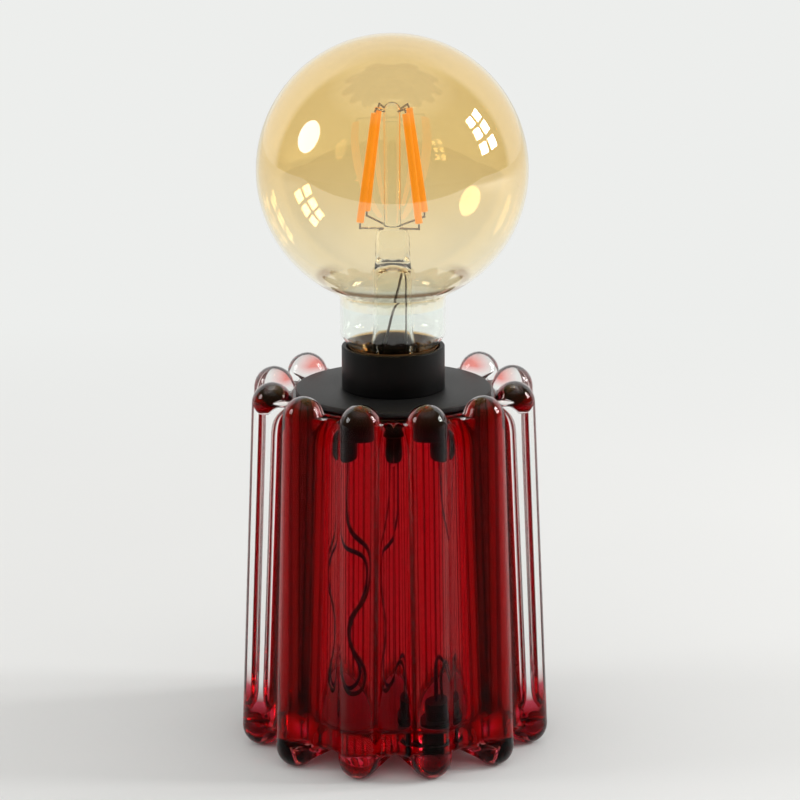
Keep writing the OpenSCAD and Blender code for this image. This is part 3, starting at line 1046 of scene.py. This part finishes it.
    def build_core(self) -> None:
        """Builds the wall of the beaker with its seams under the ribs, and the base below it."""
        upright = math.cos(math.radians(self.lean))
        floor_z = self.base_z + self.floor_t
        edge_z = self.rim_z - self.lip_r
        edge_r = self.outer_r(edge_z) - self.wall_t + self.lip_r / upright
        cove_z = floor_z + self.cove_r
        cove_r = self.outer_r(cove_z) - self.wall_t - self.cove_r / upright
        foot = (self.outer_r(floor_z), floor_z)
        lip = self.lip(90, self.lip_steps)
        inside = arc((edge_r, edge_z), self.lip_r, 90, 180 + self.lean, self.lip_steps)
        cove = arc((cove_r, cove_z), self.cove_r, self.lean, -90, self.cove_steps)
        outline = [
            foot,
            *line(foot, lip[0], self.rows),
            *lip,
            *inside,
            *line(inside[-1], cove[0], self.rows),
            *cove,
        ]
        bm = turned(outline, self.columns, True)
        seam = bm.faces.layers.float.new(SEAM)
        for face in bm.faces:
            middle = face.calc_center_median()
            outside = middle.xy.length > self.outer_r(middle.z) - self.wall_t / 2
            under_rib = outside and self.seam_low_z < middle.z < self.seam_high_z
            on_base = middle.z < floor_z + NEAR and middle.xy.length > cove[-1][0]
            face[seam] = float(under_rib or on_base)
        place("ruby_beaker", bm, [RUBY], Slot.RUBY, ["ruby_vessel"], Body.VESSEL)
        self.build_base(cove[-1][0], (self.base_z, floor_z - self.floor_gap))

    def build_base(self, r: float, levels: Pair) -> None:
        """Builds the paler base of the beaker with the hole for the bush, fused to the wall.

        Args:
            r: radius of the floor inside the wall
            levels: heights of the underside and the floor
        """
        top = levels[1]
        edge = (self.outer_r(top), top)
        bm = turned([*self.heel(-90, self.heel_steps), edge, (r, top)], self.columns)
        open_edges = [e for e in bm.edges if e.is_boundary]
        holes = []
        for z, facing in zip(levels, (-1, 1)):
            rim = [e for e in open_edges if abs(e.verts[0].co.z - z) < NEAR]
            middle = Matrix.Translation((self.bush[0], self.bush[1], z))
            ring = bmesh.ops.create_circle(
                bm, segments=self.bush_sides, radius=self.bush_hole_r, matrix=middle
            )
            hole = edges_at(ring["verts"])
            holes += hole
            bmesh.ops.triangle_fill(bm, use_beauty=True, edges=rim + hole, normal=(0, 0, facing))
        bmesh.ops.bridge_loops(bm, edges=holes)
        tidy(bm)
        seam = bm.faces.layers.float.new(SEAM)
        for face in bm.faces:
            middle = face.calc_center_median()
            face[seam] = float(middle.z > self.seam_low_z and middle.xy.length > r)
        place("ruby_base", bm, [RUBY_BASE], Slot.RUBY, ["ruby_vessel"], Body.VESSEL)

    def rib_outline(self) -> tuple[Outline, float]:
        """Outline of a rib about its own axis.

        Returns:
            The outline and the length of the straight part
        """
        length = (self.dome_z - self.foot_z) / math.cos(math.radians(self.lean))
        r = self.rib_r / self.rib_shrink
        steps = (90, 84, 70, 55, self.seam_low_latitude, 25, self.seam_high_latitude)
        latitudes = [math.radians(a) for a in steps]
        low = [(r * math.cos(a), -r * math.sin(a)) for a in latitudes]
        high = [(r * math.cos(a), length + r * math.sin(a)) for a in reversed(latitudes)]
        low[0] = (0.0, -r)
        high[-1] = (0.0, length + r)
        return [*low, (r, 0.0), *self.rows_along((r, 0.0), (r, length)), (r, length), *high], length

    def rib_rod(self) -> bmesh.types.BMesh:
        """Builds the rod of a rib on the X axis, flat at its foot and open towards the wall.

        Returns:
            The rod's mesh
        """
        outline, length = self.rib_outline()
        bm = turned(outline, self.rib_columns)
        r = self.rib_r / self.rib_shrink
        low = -r * math.sin(math.radians(self.seam_low_latitude))
        high = length + r * math.sin(math.radians(self.seam_high_latitude))
        wide = math.pi * self.seam_columns / self.rib_columns
        hole = []
        for face in bm.faces:
            middle = face.calc_center_median()
            if low < middle.z < high and abs(math.atan2(middle.y, -middle.x)) < wide:
                hole.append(face)
        bmesh.ops.delete(bm, geom=hole, context="FACES")
        tilt = Matrix.Rotation(-math.radians(self.lean), 4, "Y")
        stand = Matrix.Translation((self.axis_r(self.foot_z), 0, self.foot_z)) @ tilt
        bmesh.ops.transform(bm, matrix=stand, verts=bm.verts)
        for vert in bm.verts:
            vert.co.z = max(vert.co.z, 0.0)
        return bm

    def rib_mesh(self) -> bmesh.types.BMesh:
        """Builds one rib on the X axis, fused to the wall along a seam.

        Returns:
            The rib's mesh, coarse, with its seam creased
        """
        whole = joined([self.rib_rod(), self.seam_strip()])
        crease = whole.edges.layers.float.new("crease_edge")
        seam = whole.faces.layers.float.new(SEAM)
        rims = [e for e in whole.edges if e.is_boundary]
        for edge in rims:
            edge[crease] = float(edge.link_faces[0].material_index)
        for face in whole.faces:
            face[seam] = float(face.material_index)
            face.material_index = 0
        strip_verts = {v for e in rims if e[crease] for v in e.verts}
        web = bmesh.ops.bridge_loops(whole, edges=rims)["faces"]
        across = list(dict.fromkeys(e for f in web for e in f.edges if e not in rims))
        pairs = [sorted(e.verts, key=lambda v: v in strip_verts) for e in across]
        ends = [(rib.co.copy(), wall.co.copy()) for rib, wall in pairs]
        cuts = len(self.hollow_steps)
        made = bmesh.ops.subdivide_edges(whole, edges=across, cuts=cuts, use_grid_fill=True)["geom_inner"]
        self.hollow([v for v in made if isinstance(v, bmesh.types.BMVert)], ends)
        bmesh.ops.recalc_face_normals(whole, faces=whole.faces)
        return whole

    def hollow(self, verts: list[bmesh.types.BMVert], ends: list[tuple[Vector, Vector]]) -> None:
        """Moves the web's points onto the hollows beside a rib.

        Args:
            verts: points of the web, in even steps between its ends
            ends: ends of each line across the web, on the rib and on the wall's strip
        """
        tree = KDTree(len(verts))
        for i, vert in enumerate(verts):
            tree.insert(vert.co, i)
        tree.balance()
        count = len(self.hollow_steps) + 1
        moves = {}
        for rib, wall in ends:
            if abs(wall.y) < ALMOST * wall.xy.length * math.sin(math.radians(self.seam_angle)):
                continue
            if wall.xy.length < self.outer_r(wall.z) + self.web_end_t / 2:
                continue
            for k in range(1, count):
                at = rib.lerp(wall, k / count)
                x, y = self.hollow_point(at.z, self.hollow_steps[k - 1])
                moves[tree.find(at)[1]] = Vector((x, math.copysign(y, wall.y), at.z))
        for i, at in moves.items():
            verts[i].co = at

    def seam_strip(self) -> bmesh.types.BMesh:
        """Builds the strip of wall on which a rib sits.

        Returns:
            The strip, sunk a little into the wall
        """
        heel = self.heel(self.seam_low, self.seam_heel_rows)
        lip = self.lip(self.seam_high, 1)
        outline = [*heel, *self.rows_along(heel[-1], lip[0]), *lip]
        sunk = [(r - self.seam_sink, z) for r, z in outline]
        wide = math.radians(2 * self.seam_angle)
        bm = turned(sunk, self.seam_columns - 2, False, wide)
        bmesh.ops.rotate(bm, cent=(0, 0, 0), matrix=Matrix.Rotation(-wide / 2, 3, "Z"), verts=bm.verts)
        for way in (-1, 1):
            out = Vector((math.cos(wide / 2), way * math.sin(wide / 2), 0))
            edge = [v for v in bm.verts if way * v.co.y > ALMOST * v.co.xy.length * abs(out.y)]
            side = [e for e in bm.edges if all(v in edge for v in e.verts)]
            made = bmesh.ops.extrude_edge_only(bm, edges=side)["geom"]
            for vert in made:
                if isinstance(vert, bmesh.types.BMVert):
                    vert.co += out * self.web(vert.co.z)
        for face in bm.faces:
            face.material_index = 1
        return bm

    def build_ribs(self) -> None:
        """Builds all ribs from one, turned about the vessel's axis."""
        first = self.rib_mesh()
        for i in range(self.rib_count):
            angle = TURN * (i + 0.5) / self.rib_count
            bm = first.copy()
            bmesh.ops.rotate(bm, cent=(0, 0, 0), matrix=Matrix.Rotation(angle, 3, "Z"), verts=bm.verts)
            name, node = f"clear_rib_{i + 1}", f"glass_rib_{i + 1}"
            fine(place(name, bm, [CLEAR], Slot.CLEAR, [node], Body.VESSEL, ALL_SMOOTH))
        first.free()

    def build(self) -> None:
        """Builds the beaker and its ribs."""
        self.build_core()
        self.build_ribs()

    def dress(self) -> None:
        """Dresses the bush and its nut and seal."""
        dress(MOULDED, "cord_bush")
        dress(NICKEL, "bush_nut")
        dress(RUBBER, "bush_seal")


@dataclass
class Lead:
    """One thin single lead from the holder down to the bush."""

    name: str
    node: str
    finish: Finish
    slot: Slot
    route: list[Place]
    diameter: float = 1.8
    steps: int = 4
    bush_top_z: float = 20.5

    def build(self) -> None:
        """Builds the lead as a tube."""
        path = spline(self.route, self.steps)
        obj = place(self.name, tube(path, self.diameter / 2), [self.finish], self.slot, [self.node])
        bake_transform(obj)


LEADS = [
    Lead(
        "live_lead",
        "lead_live",
        BROWN,
        Slot.BROWN,
        [
            (-7, 0, 108.2), (-7, 0, 103), (-7, -3, 97), (-7.5, -10, 91), (-9, -17, 86.5),
            (-12.5, -19, 81), (-18, -18.5, 77), (-22.5, -17, 71.5), (-23, -16.5, 64.5), (-19, -17.5, 58),
            (-12.5, -18.5, 52.5), (-10, -18.5, 46), (-12, -18.5, 39.5), (-17, -18, 34),
            (-21, -16.5, 28.5), (-19, -15.5, 22.5), (-13.5, -14.5, 20.5), (-8, -13.5, 21.5),
            (-3, -14, 25), (2, -15.3, 30), (5.8, -17.2, 34), (10.2, -19.5, 33), (11.5, -20.4, 27.5),
            (10.5, -20, 22), (10.5, -20, 17.5),
        ],
    ),
    Lead(
        "neutral_lead",
        "lead_neutral",
        BLUE,
        Slot.BLUE,
        [
            (7, 0, 108.2), (7, 0, 103), (7, -2.5, 97), (6.5, -6, 91), (5.5, -10.5, 86), (2.5, -14.5, 82),
            (-1.2, -16.5, 79), (-5, -16.5, 76.8), (-10, -16, 75), (-15.5, -15.5, 74), (-20, -14.5, 70),
            (-21.5, -14, 64.5), (-19, -14.8, 57.5), (-13, -15.8, 51), (-10.5, -16, 45), (-12, -16, 38.5),
            (-16.5, -15, 33), (-18.5, -13, 28), (-16, -11, 23), (-10, -9.5, 20.5), (-3.5, -8, 22),
            (3.5, -5.5, 27), (10, -8, 32.5), (13.5, -13.5, 34.5), (13.5, -19, 32), (13.5, -20, 25.5),
            (13.5, -20, 17.5),
        ],
    ),
]


@dataclass
class Lid:
    """Black disc on the rim with the lamp holder through it."""

    low_z: float = 126.4
    top_z: float = 128.6
    disc_r: float = 34.6
    bore_r: float = 16.4
    spigot_r: float = 30.2
    spigot_t: float = 2.4
    spigot_h: float = 9.2
    collar_r: float = 18.2
    collar_top_z: float = 143.9
    columns: int = 160
    edge: float = 0.45

    def ring(self, inner: float, outer: float, low: float, high: float) -> bmesh.types.BMesh:
        """Ring with rounded edges.

        Args:
            inner: inner radius
            outer: outer radius
            low: lower height
            high: upper height

        Returns:
            The ring's mesh
        """
        outline = [(inner, low), (outer, low), (outer, high), (inner, high)]
        return turned_part(outline, self.columns, self.edge)

    def build(self) -> None:
        """Builds the disc, its spigot and the collar."""
        disc = self.ring(self.bore_r, self.disc_r, self.low_z, self.top_z)
        place("lid_disc", disc, [POWDER], Slot.BLACK_METAL, ["lid_plate"], Body.LID)
        spigot_bore = self.spigot_r - self.spigot_t
        spigot = self.ring(spigot_bore, self.spigot_r, self.low_z - self.spigot_h, self.low_z)
        place("lid_ring", spigot, [MOULDED], Slot.BLACK_PLASTIC, ["lid_spigot"], Body.LID)
        collar = self.ring(self.bore_r, self.collar_r, self.top_z, self.collar_top_z)
        place("holder_collar", collar, [MOULDED], Slot.BLACK_PLASTIC, ["collar"], Body.LID)

    def dress(self) -> None:
        """Dresses the holder's pieces under the lid."""
        dress(MOULDED, "holder_barrel", "holder_base", "lock_ring")
        dress(NICKEL, "base_screws", "terminal_screws")
        dress(BRASS, "thread_shell", "centre_contact", "side_contact", "terminals")


@dataclass
class Bulb:
    """Amber globe bulb with LED filaments and a screw cap."""

    globe_z: float = 206.577
    globe_r: float = 47.5
    glass_t: float = 0.9
    neck_r: float = 18.6
    fillet_r: float = 4.0
    fillet_z: float = 160.3
    fillet_a: float = 63.97
    shoulder_r: float = 5.0
    shoulder_a: float = 40.0
    shoulder_z: float = 149.5
    throat_r: float = 12.4
    throat_low_z: float = 137.0
    slope_low_z: float = 140.29
    coat_z: float = 159.0
    columns: int = 144
    slope_steps: int = 4
    shoulder_steps: int = 10
    neck_steps: int = 8
    fillet_steps: int = 14
    globe_steps: int = 72
    flare_z: float = 137.6
    flare_r: float = 11.4
    flare_rise: Place = (3.5, 8.0, 13.0)
    flare_narrow: float = 1.5
    flare_belly: float = 0.8
    stem_r: float = 6.8
    stem_wall: float = 1.0
    stem_step: float = 3.0
    stem_rows: int = 6
    stem_columns: int = 32
    press_r: float = 6.1
    press_z: Pair = (173.6, 186.1)
    press_flat: float = 0.5
    press_blend: float = 3.0
    post_r: float = 3.0
    post_top_z: float = 230.6
    post_steps: int = 6
    cement_z: Pair = (141.25, 144.2)
    cement_fit: float = 0.05
    cement_lip: float = 0.3
    cement_bulge: Pair = (0.5, 0.4)
    cement_edge: float = 0.08
    cap_z: Pair = (119.5, 141.2)
    thread_z: Pair = (121.0, 135.9)
    thread_fade: float = 1.2
    pitch: float = 3.629
    thread_depth: float = 1.0
    cap_mid_r: float = 12.6
    cap_low_r: float = 11.4
    skirt_r: float = 13.2
    skirt_rise: float = 0.8
    cap_lip: tuple[Pair, ...] = ((0.0, -2.0), (0.1, -0.6), (0.5, 0.0))
    sheet_t: float = 0.4
    thread_rows: int = 66
    cap_columns: int = 96
    cap_smooth: float = 60.0

    def glass_line(self, inset: float) -> Outline:
        """Outline of the glass from the throat up to the top.

        Args:
            inset: distance inside the outer surface

        Returns:
            The outline
        """
        t = self.throat_r - inset
        start = [(t, self.throat_low_z), (t, self.slope_low_z)]
        middle = (self.neck_r - self.shoulder_r, self.shoulder_z)
        shoulder = arc(middle, self.shoulder_r - inset, -self.shoulder_a, 0, self.shoulder_steps)
        middle = (self.neck_r + self.fillet_r, self.fillet_z)
        fillet = arc(middle, self.fillet_r + inset, 180, 180 - self.fillet_a, self.fillet_steps)
        globe = arc((0.0, self.globe_z), self.globe_r - inset, -self.fillet_a, 90, self.globe_steps)
        globe[-1] = (0.0, globe[-1][1])
        return [
            *start,
            *line(start[-1], shoulder[0], self.slope_steps),
            *shoulder,
            *line(shoulder[-1], fillet[0], self.neck_steps),
            *fillet,
            *globe[1:],
        ]

    def build_glass(self) -> None:
        """Builds the globe and neck as one shell, coated above the neck."""
        outline = [*self.glass_line(0.0), *reversed(self.glass_line(self.glass_t))]
        bm = turned(outline, self.columns, False)
        rims = [e for e in bm.edges if e.is_boundary]
        bmesh.ops.bridge_loops(bm, edges=rims)
        bmesh.ops.recalc_face_normals(bm, faces=bm.faces)
        for face in bm.faces:
            face.material_index = int(face.calc_center_median().z < self.coat_z)
        place("globe_glass", bm, [LUSTRE, NECK], Slot.AMBER, ["bulb_glass"], Body.BULB)

    def build_stem(self) -> None:
        """Builds the stem: a flared tube with a flattened press and a post."""
        low, high = self.press_z
        wall, soft, belly = self.stem_wall, self.press_blend, self.flare_belly
        bore = self.stem_r - wall
        mouth_r = self.flare_r - self.flare_narrow
        mouth, throat, straight = (self.flare_z + rise for rise in self.flare_rise)
        dome = arc((0.0, self.post_top_z - self.post_r), self.post_r, 0, 90, self.post_steps)
        dome[-1] = (0.0, self.post_top_z)
        outline = [
            (0.0, low - 1), (bore - 1, low - soft), (bore, low - 2 * soft), (bore, straight),
            (bore + belly, throat), (mouth_r - wall, mouth), (self.flare_r - wall, self.flare_z),
            (self.flare_r, self.flare_z), (mouth_r, mouth), (self.stem_r + belly, throat),
            *[(self.stem_r, straight + self.stem_step * k) for k in range(self.stem_rows)],
            (self.stem_r, low - soft), (self.press_r, low), (self.press_r, high - 2),
            (self.press_r - 1, high - 0.5), (self.post_r, high), (self.post_r, high + 2), *dome,
        ]
        bm = turned(outline, self.stem_columns)
        for vert in bm.verts:
            into = min(vert.co.z - low + soft, high + 1 - vert.co.z) / soft
            vert.co.y *= 1 - self.press_flat * min(1.0, max(0.0, into))
        fine(place("stem_glass", bm, [STEM], Slot.CLEAR, ["glass_stem"], Body.BULB, ALL_SMOOTH))

    def slope_r(self, z: float) -> float:
        """Outer radius of the glass on its slope above the throat.

        Args:
            z: height

        Returns:
            The radius
        """
        shoulder = math.radians(self.shoulder_a)
        top = self.neck_r - self.shoulder_r * (1 - math.cos(shoulder))
        top_z = self.shoulder_z - self.shoulder_r * math.sin(shoulder)
        return self.throat_r + (z - self.slope_low_z) * (top - self.throat_r) / (top_z - self.slope_low_z)

    def build_cement(self) -> None:
        """Builds the cement around the slope of the glass."""
        low, high = self.cement_z
        out, up = self.cement_bulge
        lip = self.skirt_r + self.cap_lip[-1][0]
        outline = [
            (self.slope_r(low) + self.cement_fit, low),
            (lip, low),
            (lip + out, low + up),
            (self.slope_r(high) + self.cement_lip, high),
            (self.slope_r(high) + self.cement_fit, high),
        ]
        bm = turned_part(outline, self.cap_columns, self.cement_edge)
        place("cement_ring", bm, [CEMENT], Slot.CEMENT, ["cap_cement"], Body.BULB)

    def build_cap(self) -> None:
        """Builds the screw cap from thin sheet with a rolled thread."""
        low, high = self.thread_z
        bottom, top = self.cap_z
        outside = [
            (self.cap_low_r, bottom),
            (self.cap_mid_r, low),
            *line((self.cap_mid_r, low), (self.cap_mid_r, high), self.thread_rows),
            (self.cap_mid_r, high),
            (self.skirt_r, high + self.skirt_rise),
            *[(self.skirt_r + out, top + up) for out, up in self.cap_lip],
        ]
        inside = [(r - self.sheet_t, z) for r, z in reversed(outside)]
        bm = turned([*outside, *inside], self.cap_columns, True)
        for vert in bm.verts:
            x, y, z = vert.co
            edge = min(z - low, high - z)
            if edge >= -TOUCH:
                depth = self.thread_depth * min(1.0, max(0.0, edge) / self.thread_fade)
                wave = math.cos(TURN * z / self.pitch - math.atan2(y, x))
                out = (depth - self.thread_depth + depth * wave) / 2
                vert.co.xy *= 1 + out / vert.co.xy.length
        bmesh.ops.recalc_face_normals(bm, faces=bm.faces)
        place("cap_shell", bm, [CAP], Slot.CAP, ["screw_cap"], Body.BULB, self.cap_smooth)

    def build(self) -> None:
        """Builds the glass and the pieces in and under it."""
        self.build_glass()
        self.build_stem()
        self.build_cement()
        self.build_cap()

    def dress(self) -> None:
        """Dresses the pieces that stay as they are."""
        dress(PHOSPHOR, "led_filament_1", "led_filament_2", "led_filament_3", "led_filament_4")
        dress(WIRE, "filament_top_wires", "filament_base_wires", "lead_in_wires")
        dress(BLACK_GLASS, "cap_insulator")
        dress(SOLDER, "contact_tip")
        dress(BOARD, "driver_board")
        dress(SLEEVE, "driver_capacitor")


@dataclass
class Studio:
    """Camera, floor and soft light."""

    camera_at: Place = (0.0, -1.1907, 0.4421)
    camera_aim: Place = (0.0, 0.0, 0.1237)
    camera_roll: float = -0.277
    lens: float = 156.6
    sensor: float = 36.0
    shift_x: float = 0.0082
    floor_r: float = 4.0
    floor_z: float = -0.0002
    floor_sides: int = 128
    light_aim: Place = (0.0, 0.0, 0.12)
    key_panes: int = 6
    key_at: Place = (1.6, 0.1, 0.9)
    key_step: Pair = (0.34, 0.3)
    key_size: Pair = (0.24, 0.2)
    key_power: float = 17.0
    fill_at: Place = (-1.5, -0.15, 0.85)
    fill_size: Pair = (0.62, 0.62)
    fill_power: float = 5.0
    sky: Colour = (0.76, 0.755, 0.745, 1.0)
    paper: Colour = (0.86, 0.86, 0.85, 1.0)
    room: Colour = (0.20, 0.15, 0.09, 1.0)
    ceiling: Colour = (0.62, 0.57, 0.49, 1.0)
    paper_from: Pair = (0.36, 0.48)
    ceiling_from: Pair = (0.72, 0.9)
    bounces: int = 32
    glossy_bounces: int = 12
    transparent_bounces: int = 16

    def build_camera(self) -> None:
        """Makes the camera at the photograph's place."""
        data = bpy.data.cameras.new("camera")
        data.lens = self.lens
        data.sensor_width = self.sensor
        data.shift_x = self.shift_x
        obj = bpy.data.objects.new("camera", data)
        bpy.context.scene.collection.objects.link(obj)
        way = Vector(self.camera_aim) - Vector(self.camera_at)
        turn = way.to_track_quat("-Z", "Y").to_matrix().to_4x4()
        roll = Matrix.Rotation(math.radians(self.camera_roll), 4, "Z")
        obj.matrix_world = Matrix.Translation(self.camera_at) @ turn @ roll
        bpy.context.scene.camera = obj

    def build_floor(self) -> None:
        """Makes the pale floor."""
        bm = bmesh.new()
        middle = Matrix.Translation((0, 0, self.floor_z))
        bmesh.ops.create_circle(
            bm, cap_ends=True, segments=self.floor_sides, radius=self.floor_r, matrix=middle
        )
        mesh = bpy.data.meshes.new("floor")
        bm.to_mesh(mesh)
        bm.free()
        mesh.materials.append(PAPER.material())
        obj = bpy.data.objects.new("floor", mesh)
        bpy.context.scene.collection.objects.link(obj)

    def build_light(self, name: str, at: Place, size: Pair, power: float, shape: LightShape) -> None:
        """Makes an area light aimed at the lamp.

        Args:
            name: name of the light
            at: place of the light
            size: width and height
            power: power in watts
            shape: its shape
        """
        data = bpy.data.lights.new(name, "AREA")
        data.shape = shape.value
        data.size, data.size_y = size
        data.energy = power
        obj = bpy.data.objects.new(name, data)
        obj.visible_camera = False
        bpy.context.scene.collection.objects.link(obj)
        way = Vector(self.light_aim) - Vector(at)
        obj.matrix_world = Matrix.Translation(at) @ way.to_track_quat("-Z", "Y").to_matrix().to_4x4()

    def build_lights(self) -> None:
        """Makes the panes of key light on the right and the round fill light on the left."""
        x, y, z = self.key_at
        across, up = self.key_step
        power = self.key_power / self.key_panes
        for i in range(self.key_panes):
            at = (x, y + across * (i % 2 - 0.5), z + up * (i // 2 - 1))
            self.build_light(f"key_{i + 1}", at, self.key_size, power, LightShape.RECTANGLE)
        self.build_light("fill", self.fill_at, self.fill_size, self.fill_power, LightShape.DISK)

    def build_world(self) -> None:
        """Makes the surroundings: white paper behind, a darker room in front and a beige ceiling."""
        world = bpy.data.worlds.new("studio")
        bpy.context.scene.world = world
        world.use_nodes = True
        background = world.node_tree.nodes["Background"]
        g = Nodes(world.node_tree)
        axes = g.node("SeparateXYZ", {"Vector": g.node("TexCoord").outputs["Generated"]}).outputs
        behind = g.spread(axes["Y"], *self.paper_from)
        above = g.spread(axes["Z"], *self.ceiling_from)
        around = g.blend(above, g.blend(behind, self.room, self.paper), self.ceiling)
        rays = g.node("LightPath").outputs
        mirrored = g.math("MAXIMUM", rays["Is Glossy Ray"], rays["Is Transmission Ray"])
        shown = g.blend(mirrored, self.sky, around)
        g.feed(background.inputs["Color"], g.blend(rays["Is Camera Ray"], shown, self.paper))
        background.inputs["Strength"].default_value = 1.0

    def build(self) -> None:
        """Makes everything around the lamp."""
        self.build_camera()
        self.build_floor()
        self.build_lights()
        self.build_world()
        scene = bpy.context.scene
        scene.view_settings.view_transform = "Standard"
        scene.cycles.max_bounces = self.bounces
        scene.cycles.transmission_bounces = self.bounces
        scene.cycles.glossy_bounces = self.glossy_bounces
        scene.cycles.transparent_max_bounces = self.transparent_bounces


def main() -> None:
    """Builds the lamp and its studio."""
    logging.basicConfig(level=logging.INFO, format="%(message)s")
    Studio().build()
    for lead in LEADS:
        lead.build()
    for part in (Vessel(), Lid(), Bulb()):
        part.build()
        part.dress()


if __name__ == "__main__":
    main()
